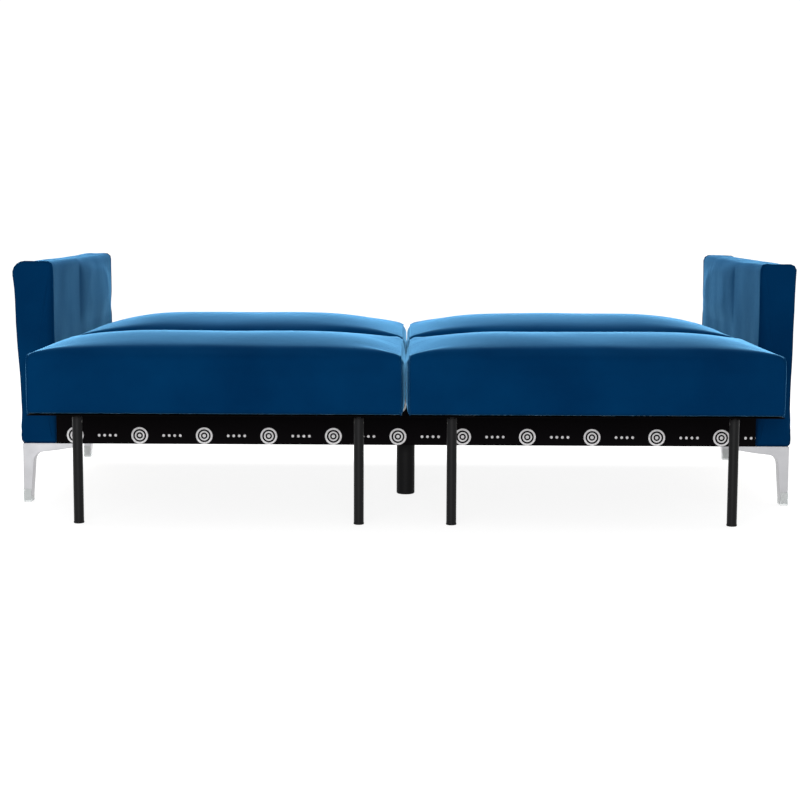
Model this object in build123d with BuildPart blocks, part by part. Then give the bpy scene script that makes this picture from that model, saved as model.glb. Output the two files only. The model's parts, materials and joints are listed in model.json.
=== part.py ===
from build123d import *
import os

# Split-back click-clack sofa bed, lowered to make a bed.
# X runs along the width, the front of the seat faces -Y, the free edges of the lowered backs are at +Y,
# and the floor is Z = 0 with the origin under the middle. Left is the left of a person sitting on it, +X.

# ---------------------------------------------------------------- driving dimensions, mm
WIDTH = 1820.0              # over both arms
BED_DEPTH = 1065.0          # front of the seat to the free edge of a lowered back
ARM_DEPTH = 740.0
ARM_THICKNESS = 88.0
ARM_TOP = 570.0
ARM_PADDING = 14.0          # foam and velvet over the arm's wooden frame
ARM_RAIL = 60.0             # height of the frame's bottom rail and width of its posts
BODY_BOTTOM = 140.0         # underside of the arms and of the seat box
SEAT_DECK = 244.0           # top of the seat rails, where the seat cushions lie
BACK_UNDERSIDE = 250.0      # lower face of a lowered back, above its dust cover
CUSHION_EDGE = 385.0        # top of a cushion along its edges
SEAT_CROWN = 420.0          # top of a seat cushion in its middle
BACK_CROWN = 416.0
CUSHION_ROUND = 20.0        # rounding of a cushion's top and upright edges
CENTRE_GAP = 10.0           # between the left and right cushions
END_GAP = 5.0               # between a cushion and the arm beside it
CUSHION_PIPING = 4.0        # rounding of a seat cushion's bottom edges

PIVOT_Y = 82.5              # recline axis of the backs, parallel to X
PIVOT_Z = 318.0
SEAT_REAR = 12.5            # rear face of the seat cushions

RAIL = 22.0                 # thickness of the wooden seat rails
RAIL_ROUND = 2.0
SEAT_OVERHANG = 2.5         # seat cushions' front beyond the apron
COVER = 1.2                 # thickness of the dust covers under and behind the seat box
COVER_INSET = 0.3           # rear dust cover's depth inside the arms' rear faces
APRON = 4.0                 # padded velvet strip over the front rail
BACK_COVER = 3.0            # lined dust cover under a back
BACK_COVER_INSET = 2.0      # from the edges of the cushion

PLATE = 3.0                 # thickness of the steel hinge plates
PLATE_GAP = 1.3             # between a seat plate and the back plate beside it
PLATE_INSET = 0.5           # back plate's depth below the end of its cushion
PLATE_CLEARANCE = 2.0       # round a back plate in its cushion
EYE_RADIUS = 28.0           # back plate's eye round the pivot
STRIP = (240.0, 268.0, 180.0, 30.0)     # back plate's bolted strip: centre Y, centre Z, length, height
STRIP_BOLTS = 60.0          # spacing
HEAD_RADIUS = 26.0          # seat plate's ratchet head
STEM_WIDTH = 30.0
FOOT = (90.0, 150.0, 240.0)             # seat plate's foot: length, lowest and highest Z
FOOT_BOLTS = (28.0, 20.0)   # half their spacing along Y and Z
FOOT_CLEARANCE = 1.0        # round the foot in its housing
PIN_RADIUS = 6.0
PIN_HEAD = (10.0, 2.0)      # radius and thickness
PIN_HEAD_GAP = 0.2          # between a head and its back plate
RUNNING_FIT = 0.05          # radial play between a pin and what turns on it
NOTCH_ANGLES = (-5.0, 35.0, 70.0)       # flat, lounging and upright, seen along -X from +Y towards +Z
NOTCH_RADIUS = 5.0
PAWL_STUD = (36.0, -26.0)   # Y and Z from the pivot
PAWL_STUD_RADIUS = 2.5
PAWL_EYE = 6.0
PAWL_NOSE = 2.5
PAWL_LIFT = 0.5             # between the resting nose and the tips of the ratchet head

FRAME_WIDTH = 30.0          # channel steel frame inside a back
FRAME_WALL = 2.0
FRAME_FRONT = 112.0         # Y of the frame's rail nearest the pivot
FRAME_REAR = 508.0
STRAP = (50.0, 2.0)         # webbing: width and thickness
STRAPS = 7

BOLT_RADIUS = 4.0
BOLT_HEAD = (8.0, 5.0)      # radius and thickness
BOLT_PLAY = 0.1             # radial play of fixed bolts and screws in their holes
ARM_BOLTS = (-420.0, -150.0, 155.0)     # Y
SCREW = (2.5, 4.5, 18.0)    # shank radius, head radius, length

SUPPORT_SPREAD = 309.0      # each support leg from the middle of its back
SUPPORT_Y = 462.0
SUPPORT_RADIUS = 11.0
SUPPORT_WALL = 1.5
SUPPORT_PIVOT_Z = 226.0
SUPPORT_TOP = 236.0
SUPPORT_PIN = 4.0           # radius
SUPPORT_FOOT = (11.5, 3.5, 14.0)        # flange radius, flange thickness, depth of the plug in the tube
SUPPORT_SLOT = 9.2          # width of the slot that lets a leg fold past its tongue
BRACKET = (60.0, 30.0, 3.0)             # length, width and thickness
BRACKET_BOLTS = 22.0        # half their spacing
BRACKET_NUT = 2.0           # height of the bolts' heads under a bracket
TONGUE = (8.0, 8.0)         # thickness and radius of the tongue inside a leg's top

LEG_INSET = 8.0             # cast leg's outer edge from the arm's outer face
LEG_DEPTH = 28.0
LEG_REACH = 132.0           # wing under the arm and seat box, from the outer edge
BLADE = (27.0, 17.5)        # width of the upright blade under the wing and at the foot
WING = (22.0, 16.0, 7.5)    # thickness of the wing at the blade, under the arm's inner face and at its end
LEG_HOLLOW = 26.0           # radius between the blade and the wing
LEG_PLATE = (60.0, 4.0)     # mounting plate: depth and thickness
LEG_SCREWS = 15.0           # half the spacing of the pair under an arm
LEG_ROUND = 1.5
LEG_CAP = (31.0, 1.0, 3.0)  # clear foot cap: height, wall and floor
CENTRE_LEG_Y = 60.0
CENTRE_LEG = (22.0, 38.0, 6.0)          # radius, flange radius, flange thickness
CENTRE_LEG_SCREWS = 24.0    # half their spacing along Y

SPRINGS = 5                 # sinuous springs under each seat cushion
SPRING_SPACING = 150.0
SPRING_WIRE = 2.0           # radius
SPRING_Z = 236.0
SPRING_SWING = 25.0         # half the width of the zigzag
SPRING_TURNS = 20
SPRING_BEND = 8.0
SPRING_RAIL = (2.5, 60.0)   # setback from the cushions' rear face, height
CLIP = (16.0, 8.0, 8.0)

# ---------------------------------------------------------------- worked out from them
FRONT = -BED_DEPTH / 2
FREE_EDGE = BED_DEPTH / 2
ARM_REAR = FRONT + ARM_DEPTH
ARM_OUTER = WIDTH / 2
ARM_INNER = ARM_OUTER - ARM_THICKNESS
ARM_MIDDLE = (ARM_OUTER + ARM_INNER) / 2
END_OUTER = ARM_INNER - END_GAP
END_INNER = CENTRE_GAP / 2
MIDDLE = (END_OUTER + END_INNER) / 2
CUSHION_WIDTH = END_OUTER - END_INNER
RAIL_BOTTOM = BODY_BOTTOM + COVER
RAIL_FRONT = FRONT + SEAT_OVERHANG + APRON
RAIL_REAR = ARM_REAR - COVER_INSET - COVER
SIDE_RAIL_FRONT = RAIL_FRONT + RAIL
SIDE_RAIL_REAR = RAIL_REAR - RAIL
SPRING_RAIL_Y = SEAT_REAR - SPRING_RAIL[0] - RAIL / 2
MIDDLE_RAIL = END_INNER + PLATE_INSET - PLATE_GAP
BARREL = PIVOT_Z - BACK_UNDERSIDE
FRAME_MIDDLE = (FRAME_FRONT + FRAME_REAR) / 2
FRAME_LENGTH = CUSHION_WIDTH - 2 * (PLATE + PLATE_INSET)
STRAP_TOP = BACK_UNDERSIDE + FRAME_WIDTH + STRAP[1]
LEG_OUTER = ARM_OUTER - LEG_INSET
# Outer face of each cast leg along Y, and the way it points.
LEG_ENDS = {"rear": (ARM_REAR - LEG_CAP[1], 1), "front": (FRONT + LEG_CAP[1], -1)}
SIDES = {"left": 1, "right": -1}
# Inner faces of the back plates and the way from there towards the seat plates, for each end of a back.
ENDS = {
    "outer": (END_OUTER - PLATE_INSET - PLATE, 1),
    "inner": (END_INNER + PLATE_INSET + PLATE, -1),
}

os.makedirs("parts", exist_ok=True)


def save(piece, name):
    """Label a finished piece and write it as one node."""
    piece.part.label = name
    export_step(piece.part, f"parts/{name}.step")


def screw_places(side, end_name):
    """X, Y of the screws in one cast leg's mounting plate: two under the arm, one under the side rail."""
    edge, end = LEG_ENDS[end_name]
    y = edge - end * (LEG_DEPTH + LEG_PLATE[0]) / 2
    return [(side * x, y) for x in (ARM_MIDDLE - LEG_SCREWS, ARM_MIDDLE + LEG_SCREWS, ARM_INNER - RAIL / 2)]


def all_leg_screws():
    """X, Y of every cast leg's screws."""
    return [place for side in SIDES.values() for end in LEG_ENDS for place in screw_places(side, end)]


def centre_leg_screws():
    """X, Y of the four screws in the centre leg's flange."""
    reach = MIDDLE_RAIL + RAIL / 2
    return [(x, CENTRE_LEG_Y + y) for x in (reach, -reach) for y in (CENTRE_LEG_SCREWS, -CENTRE_LEG_SCREWS)]


def arm_bolt_places():
    """Y, Z of the bolts that hold an arm to the seat box."""
    return [(y, BODY_BOTTOM + ARM_RAIL / 2) for y in ARM_BOLTS]


def seat_bolt_places():
    """Y, Z of the bolts through the foot of a seat plate."""
    middle = (FOOT[1] + FOOT[2]) / 2
    along, up = FOOT_BOLTS
    return [(PIVOT_Y + y, middle + z) for y in (along, -along) for z in (up, -up)]


def strip_bolt_places():
    """Y, Z of the bolts through the strip of a back plate."""
    return [(STRIP[0] + y, STRIP[1]) for y in (-STRIP_BOLTS, 0, STRIP_BOLTS)]


def support_places(side):
    """X of the two support legs under one back."""
    return {"outer": side * (MIDDLE + SUPPORT_SPREAD), "inner": side * (MIDDLE - SUPPORT_SPREAD)}


def bracket_bolt_places(side):
    """X, Y of the bolts through the support legs' brackets."""
    return [(x, SUPPORT_Y + y) for x in support_places(side).values() for y in (BRACKET_BOLTS, -BRACKET_BOLTS)]


# ---------------------------------------------------------------- seat box
def cross_rails():
    for name, y in (("front", RAIL_FRONT + RAIL / 2), ("rear", RAIL_REAR - RAIL / 2)):
        with BuildPart() as rail:
            with Locations((0, y, RAIL_BOTTOM)):
                Box(2 * ARM_INNER, RAIL, SEAT_DECK - RAIL_BOTTOM, align=(Align.CENTER, Align.CENTER, Align.MIN))
            fillet(rail.edges().filter_by(Axis.X), radius=RAIL_ROUND)
        save(rail, f"seat_rail_{name}")


def side_rails():
    """Outer rails, with a housing for the foot of the seat plate and holes for bolts and screws."""
    length = SIDE_RAIL_REAR - SIDE_RAIL_FRONT
    y = (SIDE_RAIL_REAR + SIDE_RAIL_FRONT) / 2
    housing = ARM_INNER - (END_OUTER - PLATE_INSET + PLATE_GAP)
    for name, side in SIDES.items():
        with BuildPart() as rail:
            with Locations((side * (ARM_INNER - RAIL / 2), y, RAIL_BOTTOM)):
                Box(RAIL, length, SEAT_DECK - RAIL_BOTTOM, align=(Align.CENTER, Align.CENTER, Align.MIN))
            with BuildSketch(Plane.YZ.offset(side * ARM_INNER)):
                with Locations((PIVOT_Y, FOOT[1] - FOOT_CLEARANCE)):
                    Rectangle(FOOT[0] + 2 * FOOT_CLEARANCE, SEAT_DECK, align=(Align.CENTER, Align.MIN))
            extrude(amount=-side * housing, mode=Mode.SUBTRACT)
            with BuildSketch(Plane.YZ.offset(side * ARM_INNER)):
                with Locations(*seat_bolt_places()):
                    Circle(BOLT_RADIUS + BOLT_PLAY)
                with Locations(*arm_bolt_places()):
                    Circle(BOLT_RADIUS + BOLT_PLAY)
            extrude(amount=-side * RAIL, mode=Mode.SUBTRACT)
            with BuildSketch(Plane.XY.offset(RAIL_BOTTOM)):
                with Locations(screw_places(side, "rear")[2], screw_places(side, "front")[2]):
                    Circle(SCREW[0] + BOLT_PLAY)
            extrude(amount=SCREW[2], mode=Mode.SUBTRACT)
        save(rail, f"seat_rail_{name}")


def middle_rails():
    """Pair of rails that clamps the two inner seat plates."""
    length = SIDE_RAIL_REAR - SIDE_RAIL_FRONT
    y = (SIDE_RAIL_REAR + SIDE_RAIL_FRONT) / 2
    reach = MIDDLE_RAIL + RAIL / 2
    with BuildPart() as rails:
        with Locations((reach, y, RAIL_BOTTOM), (-reach, y, RAIL_BOTTOM)):
            Box(RAIL, length, SEAT_DECK - RAIL_BOTTOM, align=(Align.CENTER, Align.CENTER, Align.MIN))
        with BuildSketch(Plane.YZ):
            with Locations(*seat_bolt_places()):
                Circle(BOLT_RADIUS + BOLT_PLAY)
        extrude(amount=MIDDLE_RAIL + RAIL, both=True, mode=Mode.SUBTRACT)
        with BuildSketch(Plane.XY.offset(RAIL_BOTTOM)):
            with Locations(*centre_leg_screws()):
                Circle(SCREW[0] + BOLT_PLAY)
        extrude(amount=SCREW[2], mode=Mode.SUBTRACT)
    save(rails, "seat_rails_middle")


def spring_rails():
    """Cross rails that take the rear ends of the springs."""
    inner = MIDDLE_RAIL + RAIL
    outer = ARM_INNER - RAIL
    with BuildPart() as rails:
        for side in SIDES.values():
            with Locations((side * (inner + outer) / 2, SPRING_RAIL_Y, SEAT_DECK)):
                Box(outer - inner, RAIL, SPRING_RAIL[1], align=(Align.CENTER, Align.CENTER, Align.MAX))
    save(rails, "spring_rails")


def spring_columns(side):
    """X of the springs under one seat cushion."""
    middle = (MIDDLE_RAIL + RAIL + ARM_INNER - RAIL) / 2
    first = -SPRING_SPACING * (SPRINGS - 1) / 2
    return [side * (middle + first + SPRING_SPACING * i) for i in range(SPRINGS)]


def seat_springs():
    """Sinuous springs: a wire that zigzags from the front rail's clips to the spring rail's clips."""
    start = SIDE_RAIL_FRONT + CLIP[1]
    pitch = (SPRING_RAIL_Y - RAIL / 2 - CLIP[1] - start) / (SPRING_TURNS + 1)
    for name, side in SIDES.items():
        with BuildPart() as springs:
            for x in spring_columns(side):
                corners = [(x, start)]
                for turn in range(SPRING_TURNS):
                    swing = SPRING_SWING if turn % 2 == 0 else -SPRING_SWING
                    last_x = corners[-1][0]
                    y = start + pitch * (turn + 1)
                    corners += [(last_x, y), (x + swing, y)]
                corners[-1] = (x, corners[-1][1])
                corners.append((x, start + pitch * (SPRING_TURNS + 1)))
                with BuildLine(Plane.XY.offset(SPRING_Z)) as wire:
                    FilletPolyline(*corners, radius=SPRING_BEND)
                with BuildSketch(Plane(origin=wire.line @ 0, z_dir=wire.line % 0)):
                    Circle(SPRING_WIRE)
                sweep(path=wire.line)
        save(springs, f"seat_springs_{name}")


def spring_clips():
    front = SIDE_RAIL_FRONT + CLIP[1] / 2
    rear = SPRING_RAIL_Y - RAIL / 2 - CLIP[1] / 2
    with BuildPart() as clips:
        for side in SIDES.values():
            with Locations(*[(x, y, SPRING_Z) for x in spring_columns(side) for y in (front, rear)]):
                Box(*CLIP)
    save(clips, "spring_clips")


def front_apron():
    with BuildPart() as apron:
        with Locations((0, RAIL_FRONT - APRON / 2, BODY_BOTTOM)):
            Box(2 * ARM_INNER, APRON, SEAT_DECK - BODY_BOTTOM, align=(Align.CENTER, Align.CENTER, Align.MIN))
        fillet(apron.faces().sort_by(Axis.Y)[0].edges().filter_by(Axis.X), radius=3)
    save(apron, "front_apron")


def seat_dust_covers():
    """Non-woven sheets stapled under and behind the seat box."""
    with BuildPart() as base_cover:
        with BuildSketch(Plane.XY.offset(BODY_BOTTOM)):
            with Locations((0, (RAIL_FRONT + RAIL_REAR) / 2)):
                Rectangle(2 * ARM_INNER, RAIL_REAR - RAIL_FRONT)
            with Locations(*all_leg_screws(), *centre_leg_screws()):
                Circle(SCREW[0] + BOLT_PLAY, mode=Mode.SUBTRACT)
        extrude(amount=COVER)
    save(base_cover, "base_dust_cover")
    with BuildPart() as rear_cover:
        with Locations((0, RAIL_REAR, BODY_BOTTOM)):
            Box(2 * ARM_INNER, COVER, SEAT_DECK - BODY_BOTTOM, align=(Align.CENTER, Align.MIN, Align.MIN))
    save(rear_cover, "rear_dust_cover")


# ---------------------------------------------------------------- cushions
def seat_cushions():
    """Crowned pads that lie on the seat rails."""
    for name, side in SIDES.items():
        with BuildPart() as cushion:
            with BuildSketch(Plane.YZ.offset(side * MIDDLE)):
                with BuildLine():
                    bottom = Line((SEAT_REAR, SEAT_DECK), (FRONT, SEAT_DECK))
                    face = Line(bottom @ 1, (FRONT, CUSHION_EDGE))
                    top = ThreePointArc(face @ 1, ((FRONT + SEAT_REAR) / 2, SEAT_CROWN), (SEAT_REAR, CUSHION_EDGE))
                    Line(top @ 1, bottom @ 0)
                make_face()
            extrude(amount=CUSHION_WIDTH / 2, both=True)
            with BuildSketch(Plane.XZ):
                with BuildLine():
                    crowned_end_view(side, SEAT_DECK, SEAT_CROWN)
                make_face()
            extrude(amount=BED_DEPTH, both=True, mode=Mode.INTERSECT)
            fillet(cushion.edges().filter_by(Axis.Z), radius=CUSHION_ROUND)
            fillet(cushion.edges().group_by(Axis.Z)[0], radius=CUSHION_PIPING)
        save(cushion, f"seat_cushion_{name}")


def crowned_end_view(side, bottom_z, crown):
    """Outline of a cushion seen along Y: flat underneath, arched on top."""
    near = side * MIDDLE - CUSHION_WIDTH / 2
    far = side * MIDDLE + CUSHION_WIDTH / 2
    bottom = Line((far, bottom_z), (near, bottom_z))
    end = Line(bottom @ 1, (near, CUSHION_EDGE))
    top = ThreePointArc(end @ 1, (side * MIDDLE, crown), (far, CUSHION_EDGE))
    Line(top @ 1, bottom @ 0)


def back_plate_outline(margin):
    """Back plate seen along X: an eye round the pivot that runs into the bolted strip."""
    with Locations((PIVOT_Y, PIVOT_Z)):
        Circle(EYE_RADIUS + margin)
    with Locations((STRIP[0], STRIP[1])):
        Rectangle(STRIP[2] + 2 * margin, STRIP[3] + 2 * margin)
    make_hull()


def back_cushions():
    """Pads round the backs' frames: a barrel round the pivot, a crowned top and a squared free edge."""
    housing = PLATE + PLATE_INSET + PIN_HEAD[1] + PLATE_CLEARANCE / 2
    for name, side in SIDES.items():
        with BuildPart() as cushion:
            with BuildSketch(Plane.YZ.offset(side * MIDDLE)):
                with BuildLine():
                    bottom = Line((PIVOT_Y, BACK_UNDERSIDE), (FREE_EDGE, BACK_UNDERSIDE))
                    face = Line(bottom @ 1, (FREE_EDGE, CUSHION_EDGE))
                    summit = ((PIVOT_Y + FREE_EDGE) / 2, BACK_CROWN)
                    top = ThreePointArc(face @ 1, summit, (PIVOT_Y, PIVOT_Z + BARREL))
                    ThreePointArc(top @ 1, (PIVOT_Y - BARREL, PIVOT_Z), bottom @ 0)
                make_face()
            extrude(amount=CUSHION_WIDTH / 2, both=True)
            with BuildSketch(Plane.XZ):
                with BuildLine():
                    crowned_end_view(side, BACK_UNDERSIDE, BACK_CROWN)
                make_face()
            extrude(amount=BED_DEPTH, both=True, mode=Mode.INTERSECT)
            fillet(cushion.edges().filter_by(Axis.Z), radius=CUSHION_ROUND)
            with BuildSketch(Plane.XY.offset(BACK_UNDERSIDE)):
                with Locations((side * MIDDLE, FRAME_MIDDLE)):
                    Rectangle(FRAME_LENGTH, FRAME_REAR - FRAME_FRONT)
            extrude(amount=STRAP_TOP - BACK_UNDERSIDE, mode=Mode.SUBTRACT)
            with BuildSketch(Plane.YZ.offset(side * END_OUTER)):
                back_plate_outline(PLATE_CLEARANCE)
            extrude(amount=-side * housing, mode=Mode.SUBTRACT)
            with BuildSketch(Plane.YZ.offset(side * END_INNER)):
                back_plate_outline(PLATE_CLEARANCE)
            extrude(amount=side * housing, mode=Mode.SUBTRACT)
        save(cushion, f"back_cushion_{name}")


# ---------------------------------------------------------------- frames inside the backs
def frame_outline(side):
    """Rectangular ring with a cross bar over each support leg."""
    depth = FRAME_REAR - FRAME_FRONT
    with Locations((side * MIDDLE, FRAME_MIDDLE)):
        Rectangle(FRAME_LENGTH, depth)
        Rectangle(FRAME_LENGTH - 2 * FRAME_WIDTH, depth - 2 * FRAME_WIDTH, mode=Mode.SUBTRACT)
    with Locations(*[(x, FRAME_MIDDLE) for x in support_places(side).values()]):
        Rectangle(FRAME_WIDTH, depth)


def back_frames():
    """Pressed channel, open underneath, with bolt holes in its ends and in the webs over the legs."""
    for name, side in SIDES.items():
        with BuildPart() as frame:
            with BuildSketch(Plane.XY.offset(BACK_UNDERSIDE)):
                frame_outline(side)
            extrude(amount=FRAME_WIDTH)
            with BuildSketch(Plane.XY.offset(BACK_UNDERSIDE)):
                frame_outline(side)
                offset(amount=-FRAME_WALL, mode=Mode.REPLACE)
            extrude(amount=FRAME_WIDTH - FRAME_WALL, mode=Mode.SUBTRACT)
            with BuildSketch(Plane.YZ.offset(side * MIDDLE)):
                with Locations(*strip_bolt_places()):
                    Circle(BOLT_RADIUS + BOLT_PLAY)
            extrude(amount=CUSHION_WIDTH / 2, both=True, mode=Mode.SUBTRACT)
            with BuildSketch(Plane.XY.offset(BACK_UNDERSIDE)):
                with Locations(*bracket_bolt_places(side)):
                    Circle(BOLT_RADIUS + BOLT_PLAY)
            extrude(amount=FRAME_WIDTH, mode=Mode.SUBTRACT)
        save(frame, f"back_frame_{name}")


def back_straps():
    """Webbing stretched across the frame, under the foam."""
    spacing = (FRAME_LENGTH - STRAP[0]) / STRAPS
    for name, side in SIDES.items():
        with BuildPart() as straps:
            with BuildSketch(Plane.XY.offset(BACK_UNDERSIDE + FRAME_WIDTH)):
                with Locations((side * MIDDLE, FRAME_MIDDLE)):
                    with GridLocations(spacing, 0, STRAPS, 1):
                        Rectangle(STRAP[0], FRAME_REAR - FRAME_FRONT)
            extrude(amount=STRAP[1])
        save(straps, f"back_straps_{name}")


def back_dust_covers():
    """Lined covers under the backs, with holes for the brackets' bolts."""
    start, end = PIVOT_Y + 2.5 * BACK_COVER_INSET, FREE_EDGE - BACK_COVER_INSET
    width, corner = CUSHION_WIDTH - 2 * BACK_COVER_INSET, CUSHION_ROUND - BACK_COVER_INSET
    for name, side in SIDES.items():
        with BuildPart() as cover:
            with BuildSketch(Plane.XY.offset(BACK_UNDERSIDE - BACK_COVER)):
                with Locations((side * MIDDLE, (start + end) / 2)):
                    RectangleRounded(width, end - start, corner)
                with Locations(*bracket_bolt_places(side)):
                    Circle(BOLT_RADIUS + BOLT_PLAY, mode=Mode.SUBTRACT)
            extrude(amount=BACK_COVER)
        save(cover, f"back_dust_cover_{name}")


# ---------------------------------------------------------------- recline hinges
def seat_plates():
    """Fixed plates: a foot bolted to the seat box, a stem and a notched ratchet head round the pivot."""
    for name, side in SIDES.items():
        for end, (face, outward) in ENDS.items():
            start = side * (face + outward * (PLATE + PLATE_GAP))
            with BuildPart() as plate:
                with BuildSketch(Plane.YZ.offset(start)):
                    with Locations((PIVOT_Y, FOOT[1])):
                        Rectangle(FOOT[0], FOOT[2] - FOOT[1], align=(Align.CENTER, Align.MIN))
                        Rectangle(STEM_WIDTH, PIVOT_Z - FOOT[1], align=(Align.CENTER, Align.MIN))
                    with Locations((PIVOT_Y, PIVOT_Z)):
                        Circle(HEAD_RADIUS)
                        for angle in NOTCH_ANGLES:
                            with PolarLocations(HEAD_RADIUS + 1, 1, start_angle=angle):
                                Circle(NOTCH_RADIUS, mode=Mode.SUBTRACT)
                        Circle(PIN_RADIUS, mode=Mode.SUBTRACT)
                    with Locations(*seat_bolt_places()):
                        Circle(BOLT_RADIUS + BOLT_PLAY, mode=Mode.SUBTRACT)
                extrude(amount=side * outward * PLATE)
            save(plate, f"hinge_seat_plate_{name}_{end}")


def back_plates():
    """Plates bolted to the ends of the frames, each with a stud for its pawl."""
    for name, side in SIDES.items():
        with BuildPart() as plates:
            for face, outward in ENDS.values():
                with BuildSketch(Plane.YZ.offset(side * face)):
                    back_plate_outline(0)
                    with Locations((PIVOT_Y, PIVOT_Z)):
                        Circle(PIN_RADIUS + RUNNING_FIT, mode=Mode.SUBTRACT)
                    with Locations(*strip_bolt_places()):
                        Circle(BOLT_RADIUS + BOLT_PLAY, mode=Mode.SUBTRACT)
                extrude(amount=side * outward * PLATE)
                with BuildSketch(Plane.YZ.offset(side * (face + outward * PLATE))):
                    with Locations((PIVOT_Y + PAWL_STUD[0], PIVOT_Z + PAWL_STUD[1])):
                        Circle(PAWL_STUD_RADIUS)
                extrude(amount=side * outward * (PLATE_GAP + PLATE))
        save(plates, f"hinge_back_plates_{name}")


def hinge_pawls():
    """Pawls that drop into the notches of the ratchet heads, lifted clear of them at rest."""
    nose = Vector(HEAD_RADIUS + PAWL_LIFT + PAWL_NOSE, 0).rotate(Axis.Z, NOTCH_ANGLES[0])
    for name, side in SIDES.items():
        for end, (face, outward) in ENDS.items():
            start = side * (face + outward * (PLATE + PLATE_GAP))
            with BuildPart() as pawl:
                with BuildSketch(Plane.YZ.offset(start)):
                    with Locations((PIVOT_Y + PAWL_STUD[0], PIVOT_Z + PAWL_STUD[1])):
                        Circle(PAWL_EYE)
                    with Locations((PIVOT_Y + nose.X, PIVOT_Z + nose.Y)):
                        Circle(PAWL_NOSE)
                    make_hull()
                    with Locations((PIVOT_Y + PAWL_STUD[0], PIVOT_Z + PAWL_STUD[1])):
                        Circle(PAWL_STUD_RADIUS + RUNNING_FIT, mode=Mode.SUBTRACT)
                extrude(amount=side * outward * PLATE)
            save(pawl, f"hinge_pawl_{name}_{end}")


def hinge_pins():
    """Rivets fixed in the seat plates, on which the back plates turn."""
    with BuildPart() as pins:
        for side in SIDES.values():
            for face, outward in ENDS.values():
                way = side * outward
                with BuildSketch(Plane.YZ.offset(side * face - way * PIN_HEAD_GAP)):
                    with Locations((PIVOT_Y, PIVOT_Z)):
                        Circle(PIN_HEAD[0])
                extrude(amount=-way * PIN_HEAD[1])
                with BuildSketch(Plane.YZ.offset(side * face - way * PIN_HEAD_GAP)):
                    with Locations((PIVOT_Y, PIVOT_Z)):
                        Circle(PIN_RADIUS)
                extrude(amount=way * (2 * PLATE + PLATE_GAP + PIN_HEAD_GAP))
    save(pins, "hinge_pins")


def bolts_along_x(places, head_x, end_x):
    """Round-headed bolts at the given Y, Z places; a head stands off head_x, away from end_x."""
    way = 1 if end_x > head_x else -1
    with Locations(*[Plane((head_x, y, z), z_dir=(way, 0, 0)) for y, z in places]):
        Cylinder(BOLT_RADIUS, abs(end_x - head_x), align=(Align.CENTER, Align.CENTER, Align.MIN))
        Cylinder(*BOLT_HEAD, align=(Align.CENTER, Align.CENTER, Align.MAX))


def seat_plate_bolts():
    """Bolts through the outer rails, and long ones with a head at both ends through the middle rails."""
    plate_outer = END_OUTER - PLATE_INSET + PLATE_GAP + PLATE
    with BuildPart() as bolts:
        for side in SIDES.values():
            bolts_along_x(seat_bolt_places(), side * (ARM_INNER - RAIL), side * plate_outer)
        bolts_along_x(seat_bolt_places(), -MIDDLE_RAIL - RAIL, MIDDLE_RAIL + RAIL)
        bolts_along_x(seat_bolt_places(), MIDDLE_RAIL + RAIL, 0)
    save(bolts, "hinge_seat_bolts")


def back_bolts():
    """Bolts through the back plates, and bolts that hold the legs' brackets under the frames."""
    web = BACK_UNDERSIDE + FRAME_WIDTH
    plate_bottom = BACK_UNDERSIDE - BACK_COVER - BRACKET[2]
    for name, side in SIDES.items():
        with BuildPart() as bolts:
            for face, outward in ENDS.values():
                inside = side * (face - outward * FRAME_WALL)
                bolts_along_x(strip_bolt_places(), inside, side * (face + outward * PLATE))
            with Locations(*[(x, y, plate_bottom) for x, y in bracket_bolt_places(side)]):
                Cylinder(BOLT_RADIUS, web - plate_bottom, align=(Align.CENTER, Align.CENTER, Align.MIN))
                Cylinder(BOLT_HEAD[0], BRACKET_NUT, align=(Align.CENTER, Align.CENTER, Align.MAX))
        save(bolts, f"back_bolts_{name}")


# ---------------------------------------------------------------- arms
def arm_covers():
    """Padded velvet shells, open underneath for the frame and bored for its bolts."""
    for name, side in SIDES.items():
        with BuildPart() as cover:
            with Locations((side * ARM_MIDDLE, (FRONT + ARM_REAR) / 2, BODY_BOTTOM)):
                Box(ARM_THICKNESS, ARM_DEPTH, ARM_TOP - BODY_BOTTOM, align=(Align.CENTER, Align.CENTER, Align.MIN))
            fillet(cover.edges().filter_by(Axis.Z), radius=10)
            fillet(cover.faces().sort_by(Axis.Z)[-1].edges(), radius=24)
            with Locations((side * ARM_MIDDLE, (FRONT + ARM_REAR) / 2, BODY_BOTTOM)):
                Box(
                    ARM_THICKNESS - 2 * ARM_PADDING,
                    ARM_DEPTH - 2 * ARM_PADDING,
                    ARM_TOP - BODY_BOTTOM - ARM_PADDING,
                    align=(Align.CENTER, Align.CENTER, Align.MIN),
                    mode=Mode.SUBTRACT,
                )
            with BuildSketch(Plane.YZ.offset(side * ARM_INNER)):
                with Locations(*arm_bolt_places()):
                    Circle(BOLT_RADIUS + BOLT_PLAY)
            extrude(amount=side * ARM_PADDING, mode=Mode.SUBTRACT)
        save(cover, f"arm_cover_{name}")


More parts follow.
